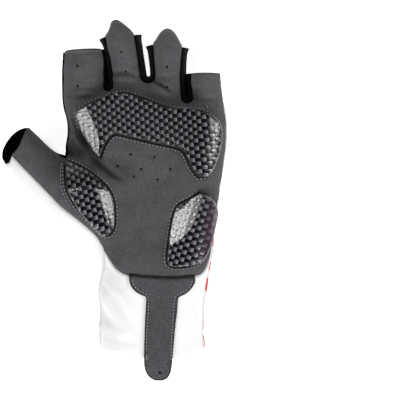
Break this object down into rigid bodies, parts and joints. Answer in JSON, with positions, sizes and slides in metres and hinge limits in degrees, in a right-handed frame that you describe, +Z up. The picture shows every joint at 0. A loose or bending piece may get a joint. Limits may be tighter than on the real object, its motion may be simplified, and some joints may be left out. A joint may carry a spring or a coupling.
{
  "type": "short-fingered cycling glove",
  "caption": "Left-hand cycling glove lying palm up, with cut fingers, raised palm pads, a long open cuff and a pull strap.",
  "frame": {"origin": "centre of the box round the glove, on the surface that it lies on", "axes": "+X to the little finger's side, +Y to the fingertips, +Z up out of the palm"},
  "size_m": [0.1359, 0.216, 0.0338],
  "materials": {
    "suede_palm": "grey microfibre suede",
    "suede_strap": "grey microfibre suede",
    "mesh_cloth": "white perforated knit with a red print",
    "cuff_cloth": "white smooth stretch knit",
    "black_stretch": "black stretch knit",
    "carbon_film": "glossy dark film with a woven carbon look"
  },
  "bodies": {
    "root": {"palm_panel": "suede_palm", "back_panel": "mesh_cloth", "wrist_panel": "cuff_cloth", "web_patch": "carbon_film", "pull_strap": "suede_strap", "fourchette_index_middle": "black_stretch", "fourchette_middle_ring": "black_stretch", "fourchette_ring_little": "black_stretch", "pad_crescent": "carbon_film", "pad_thumb": "carbon_film", "pad_heel": "carbon_film"}
  },
  "joints": []
}
